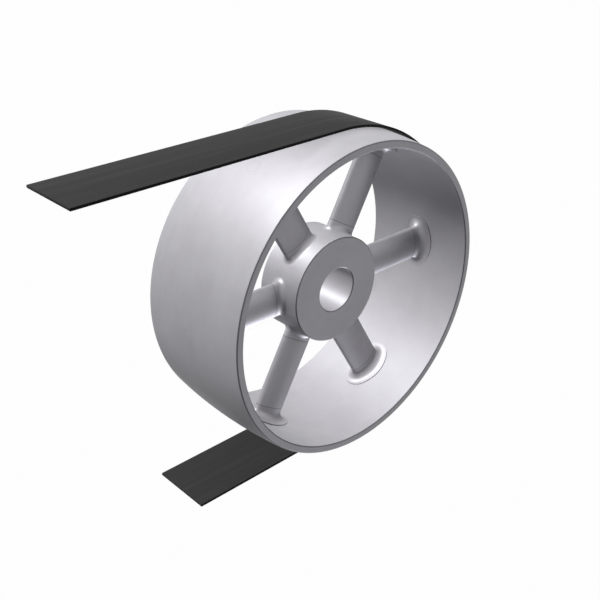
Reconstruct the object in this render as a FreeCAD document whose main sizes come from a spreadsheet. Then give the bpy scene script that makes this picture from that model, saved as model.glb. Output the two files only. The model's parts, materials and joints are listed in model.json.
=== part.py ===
"""Flat belt pulley with six oval arms and its belt, in millimetres.

The wheel turns about +Y, its centre is the origin, and the belt's strands leave toward -X.
"""
import FreeCAD, Part
import os
import re

import Sketcher

Vector = FreeCAD.Vector
os.makedirs("parts", exist_ok=True)
doc = FreeCAD.newDocument("flat_belt_pulley")

# Sizes, in millimetres, degrees and counts: the sheet gives each one its name.
SIZES = {
    # Rim
    "crown_dia": 250,
    "crown_height": 3,
    "face_width": 100,
    "edge_wall": 6,
    "rim_chamfer": 0.8,
    # Hub
    "bore_dia": 35,
    "hub_dia": 84,
    "hub_length": 40,
    "hub_chamfer": 0.8,
    "bore_chamfer": 0.8,
    "boss_height": 6,
    "boss_depth": 12,
    "root_radius": 4.5,
    # Arms, oval, with the wide way in the plane of the wheel
    "arm_count": 6,
    "arm_wide": 28,
    "arm_thick": 12,
    "arm_end_radius": 3.2,
    "spigot_wide": 20,
    "spigot_thick": 8,
    "spigot_end_radius": 2.1,
    "spigot_gap": 0.05,
    "hub_spigot_depth": 14,
    "socket_end_gap": 0.5,
    # Feet between the arms and the rim
    "foot_height": 11,
    "foot_lip": 1,
    "foot_radius": 6,
    "foot_land": 2.5,
    "foot_end_gap": 0.6,
    # Countersunk screws through the rim
    "screw_dia": 5,
    "screw_hole_gap": 0.25,
    "screw_thread_gap": 0.05,
    "screw_head_dia": 10,
    "screw_head_gap": 0.05,
    "screw_head_flush": 0.05,
    "screw_length": 25,
    "screw_point": 0.8,
    "screw_hole_end_gap": 1.5,
    # Set screws of the hub, two in one hole: the outer one locks the inner
    "set_screw_dia": 8,
    "set_screw_length": 10,
    "set_screw_stack_gap": 0.2,
    "set_screw_gap": 0.05,
    "set_screw_back": 0.5,
    "set_screw_point": 1.5,
    "set_screw_chamfer": 0.4,
    "set_screw_key_flats": 4,
    "set_screw_key_depth": 5,
    "set_screw_place": 30,
    # Belt
    "belt_width": 50,
    "belt_thick": 2,
    "belt_gap": 0.3,
    "belt_top_length": 215,
    "belt_low_length": 140,
    # How far a cut runs past the face it opens
    "cut_reach": 2,
}

# Sizes that follow from the others.
DERIVED = {
    "edge_dia": "=crown_dia - 2 * crown_height",
    "rim_bore_dia": "=edge_dia - 2 * edge_wall",
    "lip_dia": "=rim_bore_dia - 2 * foot_lip",
    "foot_start": "=rim_bore_dia / 2 - foot_height",
    "foot_growth": "=foot_radius + foot_land",
    "foot_wide": "=arm_wide + 2 * foot_growth",
    "foot_thick": "=arm_thick + 2 * foot_growth",
    "foot_end_radius": "=arm_end_radius + foot_growth",
    "boss_reach": "=hub_dia / 2 + boss_height",
    "boss_start": "=hub_dia / 2 - boss_depth",
    "screw_top": "=crown_dia / 2 - screw_head_flush",
    "screw_cone": "=(screw_head_dia - screw_dia) / 2",
    "screw_tip": "=screw_top - screw_length",
    "arm_tip": "=rim_bore_dia / 2 - foot_end_gap",
    "arm_root_tip": "=boss_reach - hub_spigot_depth",
    "belt_inner_dia": "=crown_dia + 2 * belt_gap",
    "belt_outer_dia": "=belt_inner_dia + 2 * belt_thick",
}

sheet = doc.addObject("Spreadsheet::Sheet", "sizes")
for row, (name, value) in enumerate({**SIZES, **DERIVED}.items(), start=1):
    sheet.set(f"A{row}", name)
    sheet.set(f"B{row}", str(value))
    sheet.setAlias(f"B{row}", name)
doc.recompute()

NAMES = re.compile(r"\b(" + "|".join(list(SIZES) + list(DERIVED)) + r")\b")


def bound(text):
    """The expression with each size's name led back to the sheet."""
    return NAMES.sub(r"sizes.\1", text)


def value_of(text):
    """The number that an expression of sizes gives."""
    return float(sheet.evalExpression(text))


def origin_part(body, role):
    """A plane or an axis of a body's own origin."""
    return next(part for part in body.Origin.OriginFeatures if part.Role == role)


def new_body(label):
    """An empty body with its label."""
    body = doc.addObject("PartDesign::Body", label)
    body.Label = label
    return body


def new_sketch(body, plane, name, offset=None):
    """A sketch on one of the body's own planes, moved along the plane's normal by an expression."""
    sketch = body.newObject("Sketcher::SketchObject", f"{body.Name}_{name}")
    sketch.AttachmentSupport = (origin_part(body, plane), [""])
    sketch.MapMode = "FlatFace"
    if offset:
        sketch.setExpression("AttachmentOffset.Base.z", bound(offset))
    return sketch


def pin(sketch, geometry, point, across, upward):
    """Hold one point of the geometry at a place given by two expressions."""
    for kind, axis, text in (("DistanceX", -2, across), ("DistanceY", -1, upward)):
        if text == "0":
            sketch.addConstraint(Sketcher.Constraint("PointOnObject", geometry, point, axis))
            continue
        held = sketch.addConstraint(Sketcher.Constraint(kind, -1, 1, geometry, point, value_of(text)))
        sketch.setExpression(f"Constraints[{held}]", bound(text))


def draw_profile(sketch, corners, arcs=None):
    """A closed outline through the corners; an arc of the dict passes through its own middle point."""
    arcs = arcs or {}
    places = [Vector(value_of(x), value_of(y), 0) for x, y in corners]
    ends = []
    for index, start in enumerate(places):
        stop = places[(index + 1) % len(places)]
        forward = True
        if index in arcs:
            middle = Vector(*(value_of(text) for text in arcs[index]), 0)
            forward = (middle - start).cross(stop - middle).z > 0
            round_edge = Part.Arc(start, middle, stop) if forward else Part.Arc(stop, middle, start)
            edge = sketch.addGeometry(round_edge, False)
            point = sketch.addGeometry(Part.Point(middle), True)
            pin(sketch, point, 1, *arcs[index])
            sketch.addConstraint(Sketcher.Constraint("PointOnObject", point, 1, edge))
        else:
            edge = sketch.addGeometry(Part.LineSegment(start, stop), False)
        ends.append((edge, 1, 2) if forward else (edge, 2, 1))
    for index, (edge, first, _) in enumerate(ends):
        before, _, last = ends[index - 1]
        sketch.addConstraint(Sketcher.Constraint("Coincident", before, last, edge, first))
        pin(sketch, edge, first, *corners[index])


def draw_circle(sketch, diameter):
    """A circle about the sketch's origin."""
    ring = sketch.addGeometry(Part.Circle(Vector(0, 0, 0), Vector(0, 0, 1), value_of(diameter) / 2), False)
    sketch.addConstraint(Sketcher.Constraint("Coincident", ring, 3, -1, 1))
    held = sketch.addConstraint(Sketcher.Constraint("Diameter", ring, value_of(diameter)))
    sketch.setExpression(f"Constraints[{held}]", bound(diameter))


def draw_oval(sketch, wide, thick, end):
    """An oval of four tangent arcs about the sketch's origin, its long way upright; end is its ends' radius."""
    side = f"((({wide}) / 2 - ({end}))^2 + (({thick}) / 2)^2 - ({end})^2) / ({thick} - 2 * ({end}))"
    across = f"({end}) * ({side} - ({thick}) / 2) / ({side} - ({end}))"
    upward = f"(({wide}) / 2 - ({end})) * ({side}) / ({side} - ({end}))"
    corners = [(across, upward), (f"-({across})", upward), (f"-({across})", f"-({upward})"), (across, f"-({upward})")]
    draw_profile(sketch, corners, arcs={
        0: ("0", f"({wide}) / 2"), 1: (f"-({thick}) / 2", "0"),
        2: ("0", f"-({wide}) / 2"), 3: (f"({thick}) / 2", "0"),
    })


def draw_hexagon(sketch, flats):
    """A regular hexagon about the sketch's origin, with two flats upright."""
    across = f"{flats} / 2"
    side = f"{flats} / 2 / sqrt(3)"
    corner = f"{flats} / sqrt(3)"
    draw_profile(sketch, [(across, side), ("0", corner), (f"-{across}", side),
                          (f"-{across}", f"-{side}"), ("0", f"-{corner}"), (across, f"-{side}")])


def turned(body, kind, sketch, axis, name):
    """A revolution or a groove of a sketch round one of the body's own axes."""
    feature = body.newObject(f"PartDesign::{kind}", f"{body.Name}_{name}")
    feature.Profile = sketch
    feature.ReferenceAxis = (origin_part(body, axis), [""])
    feature.Angle = 360
    sketch.Visibility = False
    return feature


def raised(body, kind, sketch, length, name, symmetric=False):
    """A pad or a pocket of a sketch, its length an expression."""
    feature = body.newObject(f"PartDesign::{kind}", f"{body.Name}_{name}")
    feature.Profile = sketch
    feature.setExpression("Length", bound(length))
    if symmetric:
        feature.SideType = "Symmetric"
    sketch.Visibility = False
    return feature


def repeated(body, feature, count, angle, name):
    """A polar pattern of one feature about the wheel's axis."""
    pattern = body.newObject("PartDesign::PolarPattern", f"{body.Name}_{name}")
    pattern.Originals = [feature]
    pattern.Axis = (origin_part(body, "Y_Axis"), [""])
    pattern.setExpression("Angle", bound(angle))
    pattern.setExpression("Occurrences", bound(count))
    body.Tip = pattern
    doc.recompute()
    return pattern


def rounded(body, feature, edges, radius, name):
    """A fillet on the named edges of a feature."""
    fillet = body.newObject("PartDesign::Fillet", f"{body.Name}_{name}")
    fillet.Base = (feature, edges)
    fillet.setExpression("Radius", bound(radius))
    body.Tip = fillet
    doc.recompute()
    return fillet


def edges_on_cylinder(shape, radius, reach):
    """Names of the edges that lie on a cylinder round the wheel's axis, within a reach of its middle."""
    near = 0.02
    found = []
    for index, edge in enumerate(shape.Edges, start=1):
        points = edge.discretize(9)
        lies = all(abs((point.x ** 2 + point.z ** 2) ** 0.5 - radius) < near for point in points)
        if lies and all(abs(point.y) < reach + near for point in points):
            found.append(f"Edge{index}")
    return found


def arm_places():
    """The arms' numbers, from 1, with the turn of each about the wheel's axis in degrees."""
    count = int(value_of("arm_count"))
    return [(number, 360.0 / count * (number - 1)) for number in range(1, count + 1)]


def turn_from_x(body, degrees):
    """Turn a body made along +X about the wheel's axis, toward +Z."""
    body.Placement = FreeCAD.Placement(Vector(0, 0, 0), FreeCAD.Rotation(Vector(0, -1, 0), degrees))


def build_rim():
    """The crowned ring, with six countersunk holes under the belt's path."""
    body = new_body("rim")
    inner, outer, half = "rim_bore_dia / 2", "edge_dia / 2", "face_width / 2"
    cut = "rim_chamfer"
    sketch = new_sketch(body, "XY_Plane", "section")
    draw_profile(sketch, [
        (inner, f"-({half} - {cut})"), (f"{inner} + {cut}", f"-{half}"), (f"{outer} - {cut}", f"-{half}"),
        (outer, f"-({half} - {cut})"), (outer, f"{half} - {cut}"), (f"{outer} - {cut}", half),
        (f"{inner} + {cut}", half), (inner, f"{half} - {cut}"),
    ], arcs={3: ("crown_dia / 2", "0")})
    turned(body, "Revolution", sketch, "Y_Axis", "ring")
    sketch = new_sketch(body, "XY_Plane", "screw_hole_section")
    hole = "screw_dia / 2 + screw_hole_gap"
    head = "screw_head_dia / 2 + screw_head_gap"
    draw_profile(sketch, [
        (f"{inner} - cut_reach", "0"), ("crown_dia / 2 + cut_reach", "0"), ("crown_dia / 2 + cut_reach", head),
        ("screw_top", head), (f"screw_top - ({head}) + ({hole})", hole), (f"{inner} - cut_reach", hole),
    ])
    groove = turned(body, "Groove", sketch, "X_Axis", "screw_hole")
    repeated(body, groove, "arm_count", "360", "screw_holes")
    return body


def build_hub():
    """The boss with its plain bore and six oval sockets, blended into the barrel by rolled fillets."""
    body = new_body("hub")
    bore, outer, half = "bore_dia / 2", "hub_dia / 2", "hub_length / 2"
    sketch = new_sketch(body, "XY_Plane", "section")
    draw_profile(sketch, [
        (bore, f"-({half} - bore_chamfer)"), (f"{bore} + bore_chamfer", f"-{half}"),
        (f"{outer} - hub_chamfer", f"-{half}"), (outer, f"-({half} - hub_chamfer)"),
        (outer, f"{half} - hub_chamfer"), (f"{outer} - hub_chamfer", half),
        (f"{bore} + bore_chamfer", half), (bore, f"{half} - bore_chamfer"),
    ])
    turned(body, "Revolution", sketch, "Y_Axis", "barrel")
    sketch = new_sketch(body, "YZ_Plane", "boss_outline", "boss_start")
    draw_oval(sketch, "arm_wide", "arm_thick", "arm_end_radius")
    boss = raised(body, "Pad", sketch, "boss_reach - boss_start", "boss")
    bosses = repeated(body, boss, "arm_count", "360", "bosses")
    edges = edges_on_cylinder(bosses.Shape, value_of("hub_dia / 2"), value_of("arm_thick / 2"))
    rounded(body, bosses, edges, "root_radius", "boss_roots")
    sketch = new_sketch(body, "YZ_Plane", "socket_outline", "boss_reach")
    draw_oval(sketch, "spigot_wide + 2 * spigot_gap", "spigot_thick + 2 * spigot_gap",
              "spigot_end_radius + spigot_gap")
    socket = raised(body, "Pocket", sketch, "hub_spigot_depth + socket_end_gap", "socket")
    repeated(body, socket, "arm_count", "360", "sockets")
    sketch = new_sketch(body, "YZ_Plane", "set_screw_outline")
    sketch.AttachmentOffset = FreeCAD.Placement(
        Vector(0, 0, 0), FreeCAD.Rotation(Vector(-1, 0, 0), value_of("set_screw_place")))
    draw_circle(sketch, "set_screw_dia + 2 * set_screw_gap")
    hole = raised(body, "Pocket", sketch, f"{outer} + cut_reach", "set_screw_hole")
    hole.Reversed = True
    return body


def build_arm(number, degrees):
    """One oval arm, with a spigot for the hub, a spigot for the foot and a tapped hole in its outer end."""
    body = new_body(f"arm_{number}")
    sketch = new_sketch(body, "YZ_Plane", "outline", "boss_reach")
    draw_oval(sketch, "arm_wide", "arm_thick", "arm_end_radius")
    raised(body, "Pad", sketch, "foot_start - boss_reach", "bar")
    sketch = new_sketch(body, "YZ_Plane", "spigot_outline", "arm_root_tip")
    draw_oval(sketch, "spigot_wide", "spigot_thick", "spigot_end_radius")
    raised(body, "Pad", sketch, "arm_tip - arm_root_tip", "spigots")
    sketch = new_sketch(body, "XY_Plane", "screw_hole_section")
    hole = "screw_dia / 2 + screw_thread_gap"
    draw_profile(sketch, [
        ("screw_tip - screw_hole_end_gap", "0"), ("arm_tip + cut_reach", "0"), ("arm_tip + cut_reach", hole),
        ("screw_tip - screw_hole_end_gap", hole),
    ])
    turned(body, "Groove", sketch, "X_Axis", "screw_hole")
    turn_from_x(body, degrees)
    return body


def build_foot(number, degrees):
    """One flared foot: a thin saddle on the rim's bore, blended into a collar that carries on the arm."""
    body = new_body(f"arm_foot_{number}")
    sketch = new_sketch(body, "YZ_Plane", "saddle_outline", "foot_start")
    draw_oval(sketch, "foot_wide", "foot_thick", "foot_end_radius")
    raised(body, "Pad", sketch, "foot_height + cut_reach", "saddle")
    sketch = new_sketch(body, "XY_Plane", "under_saddle_section")
    reach = "foot_thick / 2 + cut_reach"
    draw_profile(sketch, [
        ("foot_start - cut_reach", f"-({reach})"), ("lip_dia / 2", f"-({reach})"),
        ("lip_dia / 2", reach), ("foot_start - cut_reach", reach),
    ])
    turned(body, "Groove", sketch, "Y_Axis", "under_saddle")
    sketch = new_sketch(body, "YZ_Plane", "collar_outline", "foot_start")
    draw_oval(sketch, "arm_wide", "arm_thick", "arm_end_radius")
    collar = raised(body, "Pad", sketch, "foot_height", "collar")
    doc.recompute()
    edges = edges_on_cylinder(collar.Shape, value_of("lip_dia / 2"), value_of("arm_thick / 2"))
    rounded(body, collar, edges, "foot_radius", "flare")
    sketch = new_sketch(body, "XY_Plane", "rim_seat_section")
    draw_profile(sketch, [
        ("rim_bore_dia / 2", f"-({reach})"), ("(rim_bore_dia + foot_wide) / 2", f"-({reach})"),
        ("(rim_bore_dia + foot_wide) / 2", reach), ("rim_bore_dia / 2", reach),
    ])
    turned(body, "Groove", sketch, "Y_Axis", "rim_seat")
    sketch = new_sketch(body, "YZ_Plane", "socket_outline", "rim_bore_dia / 2 + cut_reach")
    draw_oval(sketch, "spigot_wide + 2 * spigot_gap", "spigot_thick + 2 * spigot_gap",
              "spigot_end_radius + spigot_gap")
    raised(body, "Pocket", sketch, "foot_height + 2 * cut_reach", "socket")
    turn_from_x(body, degrees)
    return body


def build_rim_screws():
    """Six countersunk screws, one into each arm, their heads turned off flush with the crown."""
    body = new_body("rim_screws")
    body.AllowCompound = True
    sketch = new_sketch(body, "XY_Plane", "section")
    shank, head, top = "screw_dia / 2", "screw_head_dia / 2", "crown_dia / 2 + cut_reach"
    draw_profile(sketch, [
        ("screw_tip", "0"), (top, "0"), (top, head), ("screw_top", head), ("screw_top - screw_cone", shank),
        ("screw_tip + screw_point", shank), ("screw_tip", f"{shank} - screw_point"),
    ])
    turned(body, "Revolution", sketch, "X_Axis", "screw")
    sketch = new_sketch(body, "XY_Plane", "flush_section")
    reach = "screw_head_dia / 2 + cut_reach"
    outside = "screw_top + screw_head_dia"
    draw_profile(sketch, [
        ("screw_top", f"-({reach})"), (outside, f"-({reach})"), (outside, reach), ("screw_top", reach),
    ])
    turned(body, "Groove", sketch, "Y_Axis", "flush_head")
    doc.recompute()
    pattern = body.newObject("PartDesign::PolarPattern", "rim_screws_round")
    pattern.TransformMode = "Whole shape"
    pattern.Axis = (origin_part(body, "Y_Axis"), [""])
    pattern.setExpression("Occurrences", bound("arm_count"))
    pattern.Angle = 360
    body.Tip = pattern
    return body


def build_set_screws():
    """Two socket set screws in one hole of the hub, one behind the other, just clear of the bore."""
    body = new_body("set_screws")
    body.AllowCompound = True
    sketch = new_sketch(body, "XY_Plane", "section")
    radius = "set_screw_dia / 2"
    tip = "bore_dia / 2 + set_screw_back"
    top = f"{tip} + set_screw_length"
    draw_profile(sketch, [
        (tip, "0"), (top, "0"), (top, f"{radius} - set_screw_chamfer"), (f"{top} - set_screw_chamfer", radius),
        (f"{tip} + set_screw_point", radius), (tip, f"{radius} - set_screw_point"),
    ])
    turned(body, "Revolution", sketch, "X_Axis", "screw")
    sketch = new_sketch(body, "YZ_Plane", "key_outline", top)
    draw_hexagon(sketch, "set_screw_key_flats")
    raised(body, "Pocket", sketch, "set_screw_key_depth", "key")
    doc.recompute()
    pattern = body.newObject("PartDesign::LinearPattern", "set_screws_in_line")
    pattern.TransformMode = "Whole shape"
    pattern.Direction = (origin_part(body, "X_Axis"), [""])
    pattern.setExpression("Length", bound("set_screw_length + set_screw_stack_gap"))
    pattern.Occurrences = 2
    body.Tip = pattern
    turn_from_x(body, value_of("set_screw_place"))
    return body


def build_belt():
    """The belt's length round the wheel: the top strand, the half turn and the bottom strand."""
    body = new_body("belt")
    sketch = new_sketch(body, "XZ_Plane", "path")
    inner, outer = "belt_inner_dia / 2", "belt_outer_dia / 2"
    draw_profile(sketch, [
        ("-belt_top_length", outer), ("0", outer), ("0", f"-{outer}"), ("-belt_low_length", f"-{outer}"),
        ("-belt_low_length", f"-{inner}"), ("0", f"-{inner}"), ("0", inner), ("-belt_top_length", inner),
    ], arcs={1: (outer, "0"), 5: (inner, "0")})
    raised(body, "Pad", sketch, "belt_width", "band", symmetric=True)
    return body


pieces = [build_rim(), build_hub()]
pieces += [build_arm(number, degrees) for number, degrees in arm_places()]
pieces += [build_foot(number, degrees) for number, degrees in arm_places()]
pieces += [build_rim_screws(), build_set_screws(), build_belt()]
doc.recompute()

# No piece is handed on with a failed feature or an unsound shape.
for item in doc.Objects:
    if "Invalid" in item.State or "Error" in item.State:
        raise RuntimeError(f"{item.Name} failed: {item.State}")
for piece in pieces:
    if piece.Shape.isNull() or not piece.Shape.isValid() or not piece.Shape.Solids:
        raise RuntimeError(f"{piece.Label} has no sound shape")
    piece.Shape.exportStep(f"parts/{piece.Label}.step")
    print(piece.Label, len(piece.Shape.Solids), round(piece.Shape.Volume), piece.Shape.BoundBox)
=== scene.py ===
"""Dress a flat belt pulley and its belt: crowned rim, oval arms on flared feet, plain hub, black belt.

Lengths are in metres. The wheel turns about +Y, its centre is the origin, and the belt's strands leave
toward -X.
"""
import json
import logging
import math
from dataclasses import dataclass
from enum import Enum
from functools import reduce
from typing import Protocol

import bmesh
import bpy
from mathutils import Matrix, Vector


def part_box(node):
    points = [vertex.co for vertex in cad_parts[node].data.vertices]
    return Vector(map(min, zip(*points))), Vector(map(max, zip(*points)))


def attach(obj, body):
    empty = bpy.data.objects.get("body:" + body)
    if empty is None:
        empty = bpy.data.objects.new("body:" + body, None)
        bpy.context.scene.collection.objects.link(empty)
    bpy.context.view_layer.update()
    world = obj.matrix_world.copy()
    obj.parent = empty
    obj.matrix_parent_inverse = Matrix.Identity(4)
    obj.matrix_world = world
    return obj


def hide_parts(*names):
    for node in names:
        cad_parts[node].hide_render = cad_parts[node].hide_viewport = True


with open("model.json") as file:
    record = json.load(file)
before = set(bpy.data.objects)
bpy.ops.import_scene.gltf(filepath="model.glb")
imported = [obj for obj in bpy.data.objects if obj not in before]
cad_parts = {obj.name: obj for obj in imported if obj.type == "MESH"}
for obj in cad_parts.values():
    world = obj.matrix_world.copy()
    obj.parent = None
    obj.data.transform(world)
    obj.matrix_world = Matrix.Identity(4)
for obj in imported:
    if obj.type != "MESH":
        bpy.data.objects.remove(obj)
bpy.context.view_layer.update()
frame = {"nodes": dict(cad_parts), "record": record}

LOG = logging.getLogger("flat_belt_pulley")
MM = 0.001
MERGE_REACH = 0.001 * MM
NOISE_MIDDLE = 0.5
ARM_COUNT = sum(node.startswith("arm_foot_") for node in frame["nodes"])
RUN_MAP = "run"
Colour = tuple[float, float, float]
Band = tuple[float, float]
Ring = list[bmesh.types.BMVert | bmesh.types.BMEdge]
BLACK: Colour = (0.0, 0.0, 0.0)
WHITE: Colour = (1.0, 1.0, 1.0)


def lowest(node: str) -> Vector:
    """The lowest corner of a CAD node at rest."""
    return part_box(node)[0]


def highest(node: str) -> Vector:
    """The highest corner of a CAD node at rest."""
    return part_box(node)[1]


def mount_place(name: str) -> Vector:
    """Where the record puts one of the part's mounts."""
    return next(Vector(mount["pos_m"]) for mount in frame["record"]["mounts"] if mount["name"] == name)


@dataclass(frozen=True)
class Grain:
    """A cloudy noise.

    Attributes:
        scale: Clouds for each unit of the place where it is read.
        detail: Octaves of finer clouds.
        roughness: How strong the finer clouds are.
    """

    scale: float
    detail: float
    roughness: float


class Lay(Enum):
    """How the tool marks of a metal run, with their grain.

    Attributes:
        TURNED: Rings about the wheel's axis.
        DRAWN: Streaks along the arms.
        CAST: A grain with no direction.
    """

    TURNED = Grain(320.0, 4.0, 0.75)
    DRAWN = Grain(960.0, 2.0, 0.6)
    CAST = Grain(960.0, 4.0, 0.6)


class Shade:
    """A socket of a node tree that takes part in Python expressions."""

    def __init__(self, bench: "Bench", socket: bpy.types.NodeSocket) -> None:
        """Keep the socket and the bench whose nodes it belongs to."""
        self.bench = bench
        self.socket = socket

    def __add__(self, other: "Shade | float") -> "Shade":
        """Sum."""
        return self.bench.maths("ADD", self, other)

    def __radd__(self, other: float) -> "Shade":
        """Sum with a number on the left."""
        return self.bench.maths("ADD", other, self)

    def __sub__(self, other: "Shade | float") -> "Shade":
        """Difference."""
        return self.bench.maths("SUBTRACT", self, other)

    def __rsub__(self, other: float) -> "Shade":
        """Difference with a number on the left."""
        return self.bench.maths("SUBTRACT", other, self)

    def __mul__(self, other: "Shade | float") -> "Shade":
        """Product."""
        return self.bench.maths("MULTIPLY", self, other)

    def __rmul__(self, other: float) -> "Shade":
        """Product with a number on the left."""
        return self.bench.maths("MULTIPLY", other, self)

    def __pow__(self, other: float) -> "Shade":
        """Power."""
        return self.bench.maths("POWER", self, other)

    def __abs__(self) -> "Shade":
        """Size without its sign."""
        return self.bench.maths("ABSOLUTE", self)

    def sine(self) -> "Shade":
        """Sine of the value in radians."""
        return self.bench.maths("SINE", self)

    def greater(self, other: "Shade | float") -> "Shade":
        """The larger of two values."""
        return self.bench.maths("MAXIMUM", self, other)

    def smaller(self, other: "Shade | float") -> "Shade":
        """The smaller of two values."""
        return self.bench.maths("MINIMUM", self, other)

    def rise(self, low: float, high: float) -> "Shade":
        """A soft step.

        Args:
            low: Value at which the step is still 0.
            high: Value from which the step is 1.

        Returns:
            A value from 0 to 1.
        """
        step = self.bench.node(
            "ShaderNodeMapRange",
            {"interpolation_type": "SMOOTHSTEP"},
            {"Value": self, "From Min": low, "From Max": high},
        )
        return Shade(self.bench, step.outputs["Result"])


class Bench:
    """The nodes of one material or of the world, with short ways to add to them."""

    def __init__(self, owner: bpy.types.Material | bpy.types.World) -> None:
        """Switch the owner's nodes on.

        Args:
            owner: The material or the world.
        """
        owner.use_nodes = True
        self.owner = owner
        self.tree = owner.node_tree

    def node(self, kind: str, settings: dict | None = None, inputs: dict | None = None) -> bpy.types.Node:
        """Add one node.

        Args:
            kind: Blender's name of the node's type.
            settings: Properties to set first.
            inputs: Values or Shades for its sockets, by name or number.

        Returns:
            The new node.
        """
        made = self.tree.nodes.new(kind)
        for key, value in (settings or {}).items():
            setattr(made, key, value)
        for key, value in (inputs or {}).items():
            self.feed(made.inputs[key], value)
        return made

    def feed(self, socket: bpy.types.NodeSocket, value: object) -> None:
        """Link a Shade to a socket, or set a plain value on it.

        Args:
            socket: The socket.
            value: A Shade, a number, or a colour without its alpha.
        """
        if isinstance(value, Shade):
            self.tree.links.new(value.socket, socket)
        elif isinstance(value, tuple) and socket.type == "RGBA":
            socket.default_value = (*value, 1.0)
        else:
            socket.default_value = value

    def maths(self, operation: str, *terms: Shade | float) -> Shade:
        """Add a Math node.

        Args:
            operation: Blender's name of the operation.
            terms: Its one or two values.

        Returns:
            The node's result.
        """
        made = self.node("ShaderNodeMath", {"operation": operation}, dict(enumerate(terms)))
        return Shade(self, made.outputs[0])

    def blend(self, share: Shade | float, first: Shade | Colour, second: Shade | Colour) -> Shade:
        """Mix two colours.

        Args:
            share: How much of the second colour shows.
            first: Colour at share 0.
            second: Colour at share 1.

        Returns:
            The mixed colour.
        """
        made = self.node("ShaderNodeMix", {"data_type": "RGBA"}, {0: share, 6: first, 7: second})
        return Shade(self, made.outputs[2])

    def place(self) -> Shade:
        """The surface point in the part's own frame."""
        return Shade(self, self.node("ShaderNodeTexCoord").outputs["Object"])

    def split(self, vector: Shade) -> tuple[Shade, ...]:
        """The three values of a vector."""
        parts = self.node("ShaderNodeSeparateXYZ", None, {0: vector})
        return tuple(Shade(self, parts.outputs[axis]) for axis in "XYZ")

    def join(self, x: Shade | float, y: Shade | float, z: Shade | float) -> Shade:
        """A vector of three values."""
        return Shade(self, self.node("ShaderNodeCombineXYZ", None, {"X": x, "Y": y, "Z": z}).outputs[0])

    def noise(self, vector: Shade, grain: Grain) -> Shade:
        """Cloudy noise.

        Args:
            vector: Where it is read.
            grain: How fine and strong it is.

        Returns:
            A value about NOISE_MIDDLE.
        """
        clouds = self.node(
            "ShaderNodeTexNoise",
            {"noise_dimensions": "3D"},
            {"Vector": vector, "Scale": grain.scale, "Detail": grain.detail, "Roughness": grain.roughness},
        )
        return Shade(self, clouds.outputs[0])

    def bump(self, height: Shade, distance: float, strength: float) -> Shade:
        """A normal that follows a height value, over a distance in metres."""
        inputs = {"Height": height, "Distance": distance, "Strength": strength}
        return Shade(self, self.node("ShaderNodeBump", None, inputs).outputs[0])

    def paint(self, sockets: dict[str, object]) -> bpy.types.Material:
        """Feed the Principled shader of a material.

        Args:
            sockets: Values or Shades by the names of the shader's sockets.

        Returns:
            The material.
        """
        shader = self.tree.nodes["Principled BSDF"]
        for name, value in sockets.items():
            self.feed(shader.inputs[name], value)
        return self.owner


@dataclass(frozen=True)
class SurfacePoint:
    """The surface point of a piece of the wheel, as its finishes read it.

    Attributes:
        point: The point as a vector.
        y: Its place along the wheel's axis.
        radius: Its distance from the wheel's axis.
        along: Its distance from the axis, measured along the nearest arm.
        from_arm: Its distance from the nearest arm's middle line.
    """

    point: Shade
    y: Shade
    radius: Shade
    along: Shade
    from_arm: Shade

    @classmethod
    def on(cls, bench: Bench) -> "SurfacePoint":
        """Add the nodes that read the point.

        Args:
            bench: The material's bench.

        Returns:
            The point's values.
        """
        point = bench.place()
        x, y, z = bench.split(point)
        radius = (x * x + z * z) ** 0.5
        # The arms stand in opposite pairs, so half of their directions do for all.
        turns = [2 * math.pi * number / ARM_COUNT for number in range(ARM_COUNT // 2)]
        along = reduce(Shade.greater, [abs(x * math.cos(turn) + z * math.sin(turn)) for turn in turns])
        from_arm = (x * x + y * y + z * z - along * along).greater(0.0) ** 0.5
        return cls(point, y, radius, along, from_arm)


class PaintedShadeLine(Protocol):
    """A line of painted shade on the metal."""

    def mask(self, at: SurfacePoint) -> Shade:
        """Find how dark the line makes the metal.

        Args:
            at: The surface point.

        Returns:
            A value from 0 for clean metal to 1 for full painted shade.
        """


@dataclass(frozen=True)
class SeamLine:
    """Painted shade on the fine line across an arm where two pieces meet.

    Attributes:
        place: Its distance from the wheel's axis.
        reach: How far its tone reaches on each side.
        core: Share of the reach with its full tone.
        tone: How dark it is.
    """

    place: float
    reach: float = 0.45 * MM
    core: float = 0.4
    tone: float = 0.65

    def mask(self, at: SurfacePoint) -> Shade:
        """How dark the painted shade of the seam is at a surface point."""
        return (1 - abs(at.along - self.place).rise(self.core * self.reach, self.reach)) * self.tone


@dataclass(frozen=True)
class LipLine:
    """The lip of a foot, darkened with painted shade from a radius on.

    Attributes:
        radius: Where the dark begins.
        blur: Over what length it comes in.
    """

    radius: float
    blur: float = 0.1 * MM

    def mask(self, at: SurfacePoint) -> Shade:
        """How dark the lip is at a surface point."""
        return at.radius.rise(self.radius, self.radius + self.blur)


@dataclass(frozen=True)
class ChamferLine:
    """Painted shade on the chamfers of a turned piece.

    Attributes:
        face: Half the width of the piece, where its chamfers end.
        width: Width of the chamfers.
        soft: Share of the width over which the tone comes and goes.
        flat: Depth under the face from which it is clean.
    """

    face: float
    width: float
    soft: float = 0.15
    flat: float = 0.01 * MM

    def mask(self, at: SurfacePoint) -> Shade:
        """Find how dark the chamfers are.

        Args:
            at: The surface point.

        Returns:
            A value from 0 for clean metal to 1 for full painted shade.
        """
        start = abs(at.y).rise(self.face - self.width, self.face - (1 - self.soft) * self.width)
        end = abs(at.y).rise(self.face - self.soft * self.width, self.face - self.flat)
        return start * (1 - end)


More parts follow.
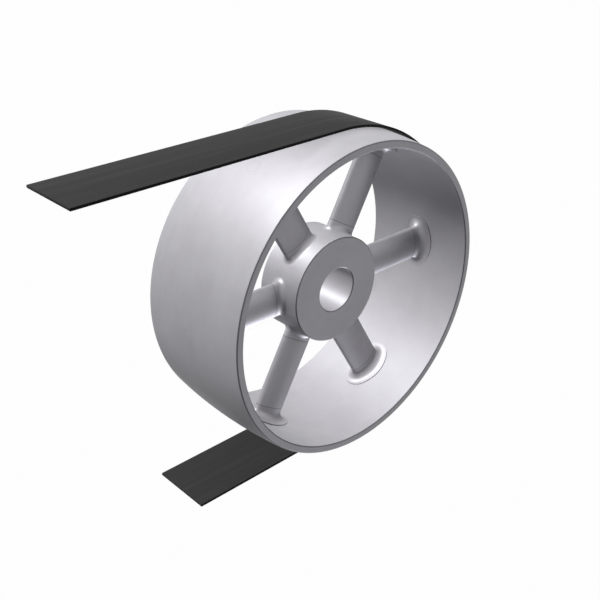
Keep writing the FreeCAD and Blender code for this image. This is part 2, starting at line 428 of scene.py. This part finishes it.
@dataclass(frozen=True)
class HeadOutline:
    """The faint outlines of the flush screw heads on the crown, painted shade for the hairline round each
    head.

    Attributes:
        radius: Radius of the heads.
        bore: Radius of the ring's bore, which shows no outlines.
        skin: How far out from the bore they have their full tone.
        core: Half the width of the line at its full tone.
        reach: How far its tone reaches on each side.
        tone: How dark it is.
    """

    radius: float
    bore: float
    skin: float = 1 * MM
    core: float = 0.08 * MM
    reach: float = 0.25 * MM
    tone: float = 0.2

    def mask(self, at: SurfacePoint) -> Shade:
        """How dark the outlines are at a surface point."""
        line = 1 - abs(at.from_arm - self.radius).rise(self.core, self.reach)
        return line * at.radius.rise(self.bore, self.bore + self.skin) * self.tone


@dataclass(frozen=True)
class BoredSkinAndShade:
    """The bore and side faces of a ring: as the boring tool left them, duller than its crown, and darker
    with painted shade.

    Attributes:
        bore: Radius of the bore.
        face: Half the width of the ring, where its side faces are.
        darker: Share of black in the colour, as painted shade.
        duller: How much rougher the skin is.
        bore_blur: How far out from the bore the skin ends.
        face_start: Depth under a side face at which the skin begins.
        face_full: Depth under a side face from which it is whole.
    """

    bore: float
    face: float
    darker: float = 0.04
    duller: float = 0.07
    bore_blur: float = 0.5 * MM
    face_start: float = 0.1 * MM
    face_full: float = 0.02 * MM

    def mask(self, at: SurfacePoint) -> Shade:
        """1 on the skin and 0 on the crown."""
        inside = 1 - at.radius.rise(self.bore, self.bore + self.bore_blur)
        return inside.greater(abs(at.y).rise(self.face - self.face_start, self.face - self.face_full))


@dataclass(frozen=True)
class MetalFinish:
    """A bare grey metal with faint tool marks, clouds and smears, and painted shade in its seams and on
    its edges.

    Attributes:
        name: Name of the material.
        lay: How the tool marks run.
        dark: Colour of the darker patches.
        light: Colour of the lighter patches.
        roughness: Roughness between the marks.
        shade_lines: Lines of painted shade.
        bored_and_shaded: The skin that the boring tool left on a ring, duller and a little darker with
            painted shade.
        metallic: Share of the metal in the shading.
        specular: Strength of the gloss beside it.
        specular_tint: Tone of the gloss.
        clouds: Broad noise of the patches.
        smears: Finer noise of the patches.
        cloud_share: Weight of the clouds in the patches.
        smear_share: Weight of the smears in the patches.
        mark_share: Weight of the tool marks in the patches.
        patch_band: Weighted noise over which the colour turns from dark to light.
        mark_rough: How much the tool marks change the roughness.
        smear_rough: How much the smears change the roughness.
        mark_height: Weight of the tool marks in the relief.
        smear_height: Weight of the smears in the relief.
        relief: Height of the relief.
        relief_strength: How much of the relief shows.
        drawn_stretch: How much slower a drawn mark changes along an arm than across it.
        painted_shade: Colour of the painted shade lines.
        painted_shade_cover: How much of the metal's colour the painted shade hides.
    """

    name: str
    lay: Lay
    dark: Colour
    light: Colour
    roughness: float
    shade_lines: tuple[PaintedShadeLine, ...] = ()
    bored_and_shaded: BoredSkinAndShade | None = None
    metallic: float = 0.45
    specular: float = 0.3
    specular_tint: Colour = (0.6, 0.6, 0.62)
    clouds: Grain = Grain(28.0, 4.0, 0.6)
    smears: Grain = Grain(95.0, 5.0, 0.65)
    cloud_share: float = 0.45
    smear_share: float = 0.25
    mark_share: float = 0.3
    patch_band: Band = (0.34, 0.66)
    mark_rough: float = 0.14
    smear_rough: float = 0.12
    mark_height: float = 0.7
    smear_height: float = 0.3
    relief: float = 0.12 * MM
    relief_strength: float = 0.12
    drawn_stretch: float = 0.04
    painted_shade: Colour = (0.02, 0.02, 0.022)
    painted_shade_cover: float = 0.7

    def tool_marks(self, bench: Bench, at: SurfacePoint) -> Shade:
        """The tool marks as a noise.

        Args:
            bench: The material's bench.
            at: The surface point.

        Returns:
            Rings, streaks or plain grain, as the lay says.
        """
        if self.lay is Lay.TURNED:
            place = bench.join(at.radius, at.y, 0.0)
        elif self.lay is Lay.DRAWN:
            place = bench.join(at.radius * self.drawn_stretch, at.y, 0.0)
        else:
            place = at.point
        return bench.noise(place, self.lay.value)

    def material(self) -> bpy.types.Material:
        """Build the material.

        Returns:
            A material with colour, roughness and relief from its nodes.
        """
        bench = Bench(bpy.data.materials.new(self.name))
        at = SurfacePoint.on(bench)
        marks = self.tool_marks(bench, at)
        clouds = bench.noise(at.point, self.clouds)
        smears = bench.noise(at.point, self.smears)
        patches = clouds * self.cloud_share + smears * self.smear_share + marks * self.mark_share
        colour = bench.blend(patches.rise(*self.patch_band), self.dark, self.light)
        rough = self.roughness + (marks - NOISE_MIDDLE) * self.mark_rough
        rough = rough + (smears - NOISE_MIDDLE) * self.smear_rough
        # The bore and side faces: a duller skin, and a little darker with painted shade.
        if self.bored_and_shaded:
            skin = self.bored_and_shaded.mask(at)
            colour = bench.blend(skin * self.bored_and_shaded.darker, colour, BLACK)
            rough = rough + skin * self.bored_and_shaded.duller
        # Lines of painted shade: seams, chamfers, the feet's lips and the screw-head outlines.
        if self.shade_lines:
            lines = reduce(Shade.greater, [line.mask(at) for line in self.shade_lines])
            colour = bench.blend(lines * self.painted_shade_cover, colour, self.painted_shade)
        height = marks * self.mark_height + smears * self.smear_height
        return bench.paint({
            "Base Color": colour,
            "Roughness": rough,
            "Metallic": self.metallic,
            "Specular IOR Level": self.specular,
            "Specular Tint": self.specular_tint,
            "Normal": bench.bump(height, self.relief, self.relief_strength),
        })


@dataclass(frozen=True)
class BeltFinish:
    """Matte black belting: a rubber face with rubbed streaks and a faint weave, and darker cut edges.

    Attributes:
        half_width: Half the belt's width, where its cut edges are.
        name: Name of the material.
        face: Colour of the face.
        rubbed: Colour where it is rubbed.
        edge: Colour of the cut edges.
        edge_start: Depth under a cut edge at which its colour begins.
        edge_full: Depth under a cut edge from which its colour is whole.
        weave: Length of one repeat of the weave.
        streaks_along: How fast the streaks change along the belt, for each metre.
        streaks_across: How fast they change across it.
        streaks: Noise of the streaks.
        streak_band: Noise over which a streak comes in.
        specks: Noise of the rubber's grain.
        speck_band: Noise over which a speck comes in.
        streak_share: How rubbed a streak is.
        speck_share: How rubbed a speck is.
        weave_share: How rubbed the top of a thread is.
        roughness: Roughness of the face.
        rubbed_smoother: How much smoother it is where it is rubbed.
        edge_rougher: How much rougher the cut edges are.
        specular: Strength of the gloss.
        weave_height: Weight of the weave in the relief.
        speck_height: Weight of the specks in the relief.
        relief: Height of the relief.
        relief_strength: How much of the relief shows.
    """

    half_width: float
    name: str = "belt_rubber_woven"
    face: Colour = (0.0135, 0.0135, 0.0138)
    rubbed: Colour = (0.0195, 0.0193, 0.019)
    edge: Colour = (0.003, 0.003, 0.003)
    edge_start: float = 0.5 * MM
    edge_full: float = 0.15 * MM
    weave: float = 1.3 * MM
    streaks_along: float = 6.0
    streaks_across: float = 160.0
    streaks: Grain = Grain(1.0, 4.0, 0.6)
    streak_band: Band = (0.42, 0.75)
    specks: Grain = Grain(420.0, 3.0, 0.6)
    speck_band: Band = (0.5, 0.8)
    streak_share: float = 0.6
    speck_share: float = 0.25
    weave_share: float = 0.15
    roughness: float = 0.72
    rubbed_smoother: float = 0.12
    edge_rougher: float = 0.15
    specular: float = 0.1
    weave_height: float = 0.7
    speck_height: float = 0.3
    relief: float = 0.1 * MM
    relief_strength: float = 0.35

    def material(self) -> bpy.types.Material:
        """Build the material on the belt's own UV map, u along the belt and v across it, in metres.

        Returns:
            A material with weave, rubbed streaks and dark edges.
        """
        bench = Bench(bpy.data.materials.new(self.name))
        run = bench.node("ShaderNodeUVMap", {"uv_map": RUN_MAP})
        along, across, _ = bench.split(Shade(bench, run.outputs[0]))
        turn = 2 * math.pi / self.weave
        weave = (along * turn).sine() * (across * turn).sine() * 0.5 + 0.5
        stretched = bench.join(along * self.streaks_along, across * self.streaks_across, 0.0)
        streaks = bench.noise(stretched, self.streaks)
        specks = bench.noise(bench.join(along, across, 0.0), self.specks)
        rubbed = streaks.rise(*self.streak_band) * self.streak_share
        rubbed = rubbed + specks.rise(*self.speck_band) * self.speck_share + weave * self.weave_share
        edge = abs(across).rise(self.half_width - self.edge_start, self.half_width - self.edge_full)
        height = weave * self.weave_height + specks * self.speck_height
        return bench.paint({
            "Base Color": bench.blend(edge, bench.blend(rubbed, self.face, self.rubbed), self.edge),
            "Roughness": self.roughness - rubbed * self.rubbed_smoother + edge * self.edge_rougher,
            "Specular IOR Level": self.specular,
            "Normal": bench.bump(height, self.relief, self.relief_strength),
        })


@dataclass(frozen=True)
class BlackedFinish:
    """Oil-blacked screw steel, rubbed a little in spots.

    Attributes:
        name: Name of the material.
        dark: Colour of the blacking.
        rubbed: Colour of the rubbed spots.
        spots: Noise of the spots.
        spot_band: Noise over which a spot comes in.
        metallic: Share of the metal in the shading.
        roughness: Roughness between the spots.
        spot_rough: How much the spots change the roughness.
        relief: Height of the relief.
        relief_strength: How much of the relief shows.
    """

    name: str = "screw_blacked"
    dark: Colour = (0.018, 0.018, 0.020)
    rubbed: Colour = (0.070, 0.068, 0.066)
    spots: Grain = Grain(260.0, 4.0, 0.6)
    spot_band: Band = (0.45, 0.75)
    metallic: float = 0.85
    roughness: float = 0.42
    spot_rough: float = 0.2
    relief: float = 0.05 * MM
    relief_strength: float = 0.3

    def material(self) -> bpy.types.Material:
        """Build the material.

        Returns:
            A dark steel with rubbed spots.
        """
        bench = Bench(bpy.data.materials.new(self.name))
        spots = bench.noise(bench.place(), self.spots)
        return bench.paint({
            "Base Color": bench.blend(spots.rise(*self.spot_band), self.dark, self.rubbed),
            "Roughness": self.roughness + (spots - NOISE_MIDDLE) * self.spot_rough,
            "Metallic": self.metallic,
            "Normal": bench.bump(spots, self.relief, self.relief_strength),
        })


class Maker:
    """Turns bmeshes into pieces that ride on the wheel or the belt."""

    @staticmethod
    def close(work: bmesh.types.BMesh) -> None:
        """Merge the doubles of a swept shape, fill its four-cornered ends and turn its faces outwards.

        Args:
            work: The bmesh.
        """
        bmesh.ops.remove_doubles(work, verts=work.verts[:], dist=MERGE_REACH)
        bmesh.ops.holes_fill(work, edges=work.edges[:], sides=4)
        bmesh.ops.recalc_face_normals(work, faces=work.faces[:])

    @staticmethod
    def round_folds(work: bmesh.types.BMesh, fold: float, width: float, segments: int) -> None:
        """Round the sharp edges of a closed shape.

        Args:
            work: The bmesh.
            fold: Edges that turn by more degrees than this are rounded.
            width: How far the rounding reaches on each side.
            segments: Steps of the rounding.
        """
        limit = math.radians(fold)
        bmesh.ops.bevel(
            work, geom=[edge for edge in work.edges if edge.calc_face_angle() > limit],
            offset=width, offset_type="OFFSET", affect="EDGES", segments=segments,
            profile=0.5, material=-1, clamp_overlap=True,
        )

    @staticmethod
    def finish_mesh(name: str, work: bmesh.types.BMesh, sharp: float = 32.0) -> bpy.types.Object:
        """Link a bmesh as a smooth-shaded object.

        Args:
            name: Name of the piece.
            work: The modelled bmesh, which is used up.
            sharp: Edges that turn by more degrees than this stay sharp.

        Returns:
            The new object.
        """
        mesh = bpy.data.meshes.new(name)
        work.to_mesh(mesh)
        work.free()
        carried = mesh.attributes.get("custom_normal")
        if carried:
            mesh.attributes.remove(carried)
        mesh.shade_smooth()
        mesh.set_sharp_from_angle(angle=math.radians(sharp))
        piece = bpy.data.objects.new(name, mesh)
        bpy.context.scene.collection.objects.link(piece)
        return piece

    @staticmethod
    def skin(node: str) -> bpy.types.Object:
        """A smooth-shaded copy of a node's solid, its loose triangles merged.

        Args:
            node: Name of the node.

        Returns:
            The copy, not yet dressed.
        """
        work = bmesh.new()
        work.from_mesh(frame["nodes"][node].data)
        bmesh.ops.remove_doubles(work, verts=work.verts[:], dist=MERGE_REACH)
        return Maker.finish_mesh(f"{node}_smooth", work)

    @staticmethod
    def hand_over(
        piece: bpy.types.Object, body: str, slot: str, material: bpy.types.Material, *nodes: str
    ) -> None:
        """Dress a piece, seat it on its body and let it stand for its nodes.

        Args:
            piece: The piece.
            body: Body that carries it.
            slot: Record slot of its finish; not used.
            material: Its material.
            nodes: Nodes that it stands for.
        """
        piece.data.materials.clear()
        piece.data.materials.append(material)
        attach(piece, body)
        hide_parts(*nodes)
        LOG.info("%s: %d faces on %s", piece.name, len(piece.data.polygons), body)


@dataclass
class Rim:
    """The crowned ring, whose skin closes over the flush heads of the screws.

    Attributes:
        crown_radius: Radius at the top of the crown.
        crown_height: How much the radius falls from there to the edges.
        half_width: Half the width of the face.
        bore_radius: Radius of the bore, on which the feet are seated.
        chamfer: Width of the chamfers at the side faces.
        head_radius: Radius of the screw heads.
        edge_round: Rounding of the edges beside the chamfers.
        round_steps: Steps of that rounding.
        ring_steps: Steps round the ring.
        crown_steps: Steps across the crown.
        fold: Edges that turn by more degrees than this are rounded.
        sharp: Edges that then turn by more degrees than this are shaded sharp.
    """

    crown_radius: float = 125 * MM
    crown_height: float = 3 * MM
    half_width: float = highest("rim").y
    bore_radius: float = highest("arm_foot_1").x
    chamfer: float = 0.8 * MM
    head_radius: float = highest("rim_screws").y
    edge_round: float = 0.25 * MM
    round_steps: int = 2
    ring_steps: int = 288
    crown_steps: int = 24
    fold: float = 30.0
    sharp: float = 8.0

    def build(self) -> bpy.types.Object:
        """Spin the ring's section about the wheel's axis.

        Returns:
            The ring.
        """
        work = bmesh.new()
        edge, bore = self.crown_radius - self.crown_height, self.bore_radius
        cut, face = self.chamfer, self.half_width
        half = face - cut
        crown_arc = (half ** 2 + self.crown_height ** 2) / (2 * self.crown_height)
        first = work.verts.new((edge, -half, 0))
        bmesh.ops.spin(
            work, geom=[first], cent=(self.crown_radius - crown_arc, 0, 0), axis=(0, 0, 1),
            angle=2 * math.asin(half / crown_arc), steps=self.crown_steps,
            use_merge=False, use_normal_flip=False,
        )
        before = max(work.verts, key=lambda vert: vert.co.y)
        corners = [
            (edge - cut, face), (bore + cut, face), (bore, half),
            (bore, -half), (bore + cut, -face), (edge - cut, -face),
        ]
        for x, y in corners:
            corner = work.verts.new((x, y, 0))
            work.edges.new((before, corner))
            before = corner
        work.edges.new((before, first))
        bmesh.ops.spin(
            work, geom=work.verts[:] + work.edges[:], cent=(0, 0, 0), axis=(0, 1, 0),
            angle=2 * math.pi, steps=self.ring_steps, use_merge=True, use_normal_flip=False,
        )
        Maker.close(work)
        Maker.round_folds(work, self.fold, self.edge_round, self.round_steps)
        return Maker.finish_mesh("rim_ring", work, self.sharp)

    def dress(self, piece: bpy.types.Object) -> None:
        """Give the ring its turned metal.

        Args:
            piece: The ring.
        """
        # The chamfers and the screw-head outlines get lines of painted shade, and the bore and side faces
        # a little painted shade.
        chamfers = ChamferLine(self.half_width, self.chamfer)
        heads = HeadOutline(self.head_radius, self.bore_radius)
        finish = MetalFinish(
            "rim_turned",
            Lay.TURNED,
            dark=(0.302, 0.296, 0.315),
            light=(0.338, 0.332, 0.352),
            roughness=0.60,
            shade_lines=(chamfers, heads),
            bored_and_shaded=BoredSkinAndShade(self.bore_radius, self.half_width),
        )
        Maker.hand_over(piece, "wheel", "rim_metal", finish.material(), "rim")


@dataclass
class Spider:
    """The hub, its oval arms and their flared feet.

    Attributes:
        hub_half: Half the hub's length.
        hub_chamfer: Width of the hub's chamfers.
        boss_reach: Where the hub's bosses end and the arms begin, from the wheel's axis.
        foot_start: Where the arms end and the feet begin.
        foot_end: Where the feet end on the rim's bore.
        lip: Height of the feet's lips, which carry painted shade.
    """

    hub_half: float = highest("hub").y
    hub_chamfer: float = 0.8 * MM
    boss_reach: float = highest("hub").x
    foot_start: float = lowest("arm_foot_1").x
    foot_end: float = highest("arm_foot_1").x
    lip: float = 0.6 * MM

    def build(self) -> dict[str, bpy.types.Object]:
        """Copy the hub, arms and feet with smooth shading.

        Returns:
            The pieces by the names of their nodes.
        """
        nodes = ["hub"]
        for kind in ("arm", "arm_foot"):
            nodes += [f"{kind}_{number}" for number in range(1, ARM_COUNT + 1)]
        return {node: Maker.skin(node) for node in nodes}

    def dress(self, pieces: dict[str, bpy.types.Object]) -> None:
        """Give the hub turned metal, the arms drawn metal and the feet a cast grain.

        Args:
            pieces: The pieces by the names of their nodes.
        """
        # The seams where the arms meet the bosses and the feet, and the feet's lips, get lines of painted
        # shade.
        root_seam, foot_seam = SeamLine(self.boss_reach), SeamLine(self.foot_start)
        hub = MetalFinish(
            "hub_turned",
            Lay.TURNED,
            dark=(0.288, 0.283, 0.300),
            light=(0.322, 0.316, 0.336),
            roughness=0.52,
            shade_lines=(root_seam, ChamferLine(self.hub_half, self.hub_chamfer)),
        )
        arm = MetalFinish(
            "arm_drawn",
            Lay.DRAWN,
            dark=(0.270, 0.265, 0.282),
            light=(0.301, 0.295, 0.314),
            roughness=0.48,
            shade_lines=(root_seam, foot_seam),
        )
        foot = MetalFinish(
            "foot_cast",
            Lay.CAST,
            dark=(0.258, 0.253, 0.269),
            light=(0.290, 0.284, 0.302),
            roughness=0.54,
            shade_lines=(foot_seam, LipLine(self.foot_end - self.lip)),
        )
        finishes = {
            "hub": ("hub_metal", hub.material()),
            "arm": ("arm_metal", arm.material()),
            "arm_foot": ("foot_metal", foot.material()),
        }
        for node, piece in pieces.items():
            kind = node.rstrip("_0123456789")
            slot, material = finishes[kind]
            Maker.hand_over(piece, "wheel", slot, material, node)


@dataclass
class Belt:
    """The flat belt: top strand, half turn round the wheel and bottom strand.

    Attributes:
        outer_radius: Radius of its outside on the wheel.
        thick: Its thickness.
        half_width: Half its width.
        top_length: Length of the top strand.
        low_length: Length of the bottom strand.
        corner_round: Rounding of its cut edges.
        round_steps: Steps of that rounding.
        turn_steps: Steps of the half turn.
        fold: Edges that turn by more degrees than this are rounded.
        sharp: Edges that then turn by more degrees than this are shaded sharp.
    """

    outer_radius: float = highest("belt").z
    thick: float = 2 * MM
    half_width: float = highest("belt").y
    top_length: float = -lowest("belt").x
    low_length: float = -mount_place("belt_low_end").x
    corner_round: float = 0.4 * MM
    round_steps: int = 3
    turn_steps: int = 120
    fold: float = 60.0
    sharp: float = 40.0

    @property
    def inner_radius(self) -> float:
        """Radius of its inside on the wheel."""
        return self.outer_radius - self.thick

    @staticmethod
    def strand(work: bmesh.types.BMesh, ring: Ring, length: float) -> Ring:
        """Draw a straight strand out of the belt's section.

        Args:
            work: The belt's bmesh.
            ring: The section at the strand's beginning; only its edges are used.
            length: Length along +X, or along -X where it is negative.

        Returns:
            The corners and edges of the section at the strand's other end.
        """
        edges = [one for one in ring if isinstance(one, bmesh.types.BMEdge)]
        grown = bmesh.ops.extrude_edge_only(work, edges=edges)["geom"]
        moved = [one for one in grown if isinstance(one, bmesh.types.BMVert)]
        bmesh.ops.translate(work, verts=moved, vec=(length, 0, 0))
        return moved + [edge for edge in work.edges if all(vert in moved for vert in edge.verts)]

    def build(self) -> bpy.types.Object:
        """Draw the belt's section along its path.

        Returns:
            The belt with a UV map along its run.
        """
        work = bmesh.new()
        low, high, half = self.inner_radius, self.outer_radius, self.half_width
        places = [(-half, low), (half, low), (half, high), (-half, high)]
        corners = [work.verts.new((-self.top_length, y, z)) for y, z in places]
        ring = [work.edges.new((corners[index - 1], corner)) for index, corner in enumerate(corners)]
        ring = self.strand(work, ring, self.top_length)
        ring = bmesh.ops.spin(
            work, geom=ring, cent=(0, 0, 0), axis=(0, 1, 0),
            angle=math.pi, steps=self.turn_steps, use_merge=False, use_normal_flip=False,
        )["geom_last"]
        self.strand(work, ring, -self.low_length)
        Maker.close(work)
        Maker.round_folds(work, self.fold, self.corner_round, self.round_steps)
        self.unroll(work)
        return Maker.finish_mesh("belt_band", work, self.sharp)

    def unroll(self, work: bmesh.types.BMesh) -> None:
        """Write the UV map of the belt's run: metres along it and across it.

        Args:
            work: The belt's bmesh.
        """
        layer = work.loops.layers.uv.new(RUN_MAP)
        for face in work.faces:
            for loop in face.loops:
                x, y, z = loop.vert.co
                if x >= 0:
                    run = self.inner_radius * math.atan2(x, z)
                elif z > 0:
                    run = x
                else:
                    run = self.inner_radius * math.pi - x
                loop[layer].uv = (run, y)

    def dress(self, piece: bpy.types.Object) -> None:
        """Give the belt its rubber."""
        Maker.hand_over(piece, "belt", "belt_rubber", BeltFinish(self.half_width).material(), "belt")


@dataclass
class Fasteners:
    """The screws, whose solids stay as they are and get their finishes.

    Attributes:
        flush: Finish of the rim's flush screws.
        blacked: Finish of the hub's set screws.
    """

    flush: MetalFinish = MetalFinish(
        "screw_turned",
        Lay.TURNED,
        dark=(0.284, 0.279, 0.296),
        light=(0.316, 0.310, 0.329),
        roughness=0.52,
    )
    blacked: BlackedFinish = BlackedFinish()

    def dress(self) -> None:
        """Give the flush screws the rim's kind of metal and the set screws a blacked steel."""
        for node, finish in (("rim_screws", self.flush), ("set_screws", self.blacked)):
            slots = frame["nodes"][node].data.materials
            slots.clear()
            slots.append(finish.material())
            LOG.info("%s: dressed in %s", node, finish.name)


class LampKind(Enum):
    """The kinds of studio lamps, by Blender's names."""

    FAR = "SUN"
    SOFT_BOX = "AREA"


@dataclass(frozen=True)
class Lamp:
    """A studio lamp that points at the wheel.

    Attributes:
        name: Its name.
        kind: Its kind.
        energy: Strength of a far lamp, or power of a soft box.
        toward: Direction from the wheel to the lamp.
        size: Angle of a far lamp in degrees, or side of a soft box.
        colour: Colour of its light.
        highlights_only: True for a lamp that only shows in the gloss.
        distance: How far from the wheel it hangs.
    """

    name: str
    kind: LampKind
    energy: float
    toward: tuple[float, float, float]
    size: float
    colour: Colour = WHITE
    highlights_only: bool = False
    distance: float = 1.2

    def hang(self) -> None:
        """Make the lamp; a far lamp casts no shadows."""
        light = bpy.data.lights.new(self.name, self.kind.value)
        light.energy = self.energy
        light.color = self.colour
        if self.kind is LampKind.FAR:
            light.angle = math.radians(self.size)
            light.use_shadow = False
        else:
            light.shape = "SQUARE"
            light.size = self.size
        toward = Vector(self.toward)
        turn = toward.to_track_quat("Z", "Y").to_matrix().to_4x4()
        hung = bpy.data.objects.new(self.name, light)
        hung.matrix_world = Matrix.Translation(toward.normalized() * self.distance) @ turn
        hung.visible_diffuse = not self.highlights_only
        bpy.context.scene.collection.objects.link(hung)


@dataclass(frozen=True)
class PictureCamera:
    """The camera at the picture's own viewing angle.

    Attributes:
        azimuth: Its turn about +Z in degrees; 0 looks along +Y.
        elevation: How far it looks down, in degrees.
        edge_radius: Radius of the rim's edges, in which the next three are counted.
        distance: From the wheel's centre back to the camera.
        aside: From the centre to the right.
        upward: From the centre up.
        focal: Focal length in the picture's pixels.
        picture: Side of the picture in pixels.
        sensor: Width of the sensor in millimetres.
        near: Where its view begins.
    """

    azimuth: float = -42.5651
    elevation: float = 27.9087
    edge_radius: float = Rim.crown_radius - Rim.crown_height
    distance: float = 5.856
    aside: float = -0.1191
    upward: float = -0.1195
    focal: float = 925.4
    picture: int = 600
    sensor: float = 36.0
    near: float = 10 * MM

    def hang(self) -> None:
        """Make the camera and let the scene look through it."""
        turn, tilt = math.radians(self.azimuth), math.radians(self.elevation)
        right = Vector((math.cos(turn), math.sin(turn), 0))
        back = Vector((math.sin(turn) * math.cos(tilt), -math.cos(turn) * math.cos(tilt), math.sin(tilt)))
        over = back.cross(right)
        eye = (back * self.distance + right * self.aside + over * self.upward) * self.edge_radius
        lens = bpy.data.cameras.new("picture_camera")
        lens.sensor_fit = "HORIZONTAL"
        lens.sensor_width = self.sensor
        lens.lens = self.focal / self.picture * self.sensor
        lens.clip_start = self.near
        hung = bpy.data.objects.new("picture_camera", lens)
        hung.matrix_world = Matrix.Translation(eye) @ Matrix((right, over, back)).transposed().to_4x4()
        bpy.context.scene.collection.objects.link(hung)
        bpy.context.scene.camera = hung


@dataclass
class Studio:
    """Floor, world, lamps and camera.

    Attributes:
        floor_height: Height of the floor.
        floor_half: Half the floor's side.
        floor_colour: The floor's colour for the light that it returns.
        floor_roughness: Roughness of the floor.
        floor_glow: How much of the floor is white to the eye; the rest keeps its shading.
        ambient: Strength of the world's light.
        lamps: A broad key lamp from above on the left, one from below that only shows in the gloss, and a
            weak soft box in front.
        camera: The camera at the picture's angle.
    """

    floor_height: float = -0.45
    floor_half: float = 6.0
    floor_colour: Colour = (0.08, 0.08, 0.08)
    floor_roughness: float = 0.9
    floor_glow: float = 0.985
    ambient: float = 0.03
    lamps: tuple[Lamp, ...] = (
        Lamp("key_above", LampKind.FAR, energy=6.4, toward=(-0.337, 0.28, 0.899), size=12.0),
        Lamp(
            "edge_below", LampKind.FAR, energy=3.2, toward=(0.45, -0.08, -0.89), size=15.0,
            colour=(0.93, 0.93, 1.0), highlights_only=True,
        ),
        Lamp("fill_front", LampKind.SOFT_BOX, energy=3.6, toward=(0.5, -1.0, 0.25), size=0.8),
    )
    camera: PictureCamera = PictureCamera()

    @staticmethod
    def seen(bench: Bench) -> Shade:
        """Tell the rays of the eye from those that only light the object.

        Args:
            bench: Bench of the floor's material or of the world.

        Returns:
            1 for rays from the camera, by mirror or through glass, and 0 for the rest.
        """
        path = bench.node("ShaderNodeLightPath")
        rays = ("Is Camera Ray", "Is Glossy Ray", "Is Transmission Ray")
        camera, glossy, through = (Shade(bench, path.outputs[name]) for name in rays)
        return (camera + glossy + through).smaller(1.0)

    def floor(self) -> None:
        """A wide pale floor that shows white and keeps a soft shadow."""
        work = bmesh.new()
        bmesh.ops.create_grid(work, x_segments=2, y_segments=2, size=self.floor_half)
        bmesh.ops.translate(work, verts=work.verts[:], vec=(0, 0, self.floor_height))
        plane = Maker.finish_mesh("studio_floor", work)
        bench = Bench(bpy.data.materials.new("floor_pale"))
        bench.paint({"Base Color": self.floor_colour, "Roughness": self.floor_roughness})
        glow = bench.node("ShaderNodeEmission", None, {"Color": WHITE, "Strength": 1.0})
        mixed = bench.node("ShaderNodeMixShader", None, {
            0: self.seen(bench) * self.floor_glow,
            1: Shade(bench, bench.tree.nodes["Principled BSDF"].outputs[0]),
            2: Shade(bench, glow.outputs[0]),
        })
        bench.feed(bench.tree.nodes["Material Output"].inputs["Surface"], Shade(bench, mixed.outputs[0]))
        plane.data.materials.append(bench.owner)

    def world(self) -> None:
        """A white surround for the eye and for reflections, and a dimmer one for the light it gives."""
        bench = Bench(bpy.data.worlds.new("studio_world"))
        surround = bench.tree.nodes["Background"]
        bench.feed(surround.inputs["Color"], WHITE)
        bench.feed(surround.inputs["Strength"], self.seen(bench) * (1.0 - self.ambient) + self.ambient)
        bpy.context.scene.world = bench.owner

    def build(self) -> None:
        """Set up the whole studio."""
        self.floor()
        self.world()
        for lamp in self.lamps:
            lamp.hang()
        self.camera.hang()
        bpy.context.scene.view_settings.view_transform = "Standard"


def main() -> None:
    """Build and dress the pulley and set up the studio."""
    logging.basicConfig(level=logging.INFO, format="%(name)s %(message)s")
    for part in (Rim(), Spider(), Belt()):
        part.dress(part.build())
    Fasteners().dress()
    Studio().build()


if __name__ == "__main__":
    main()
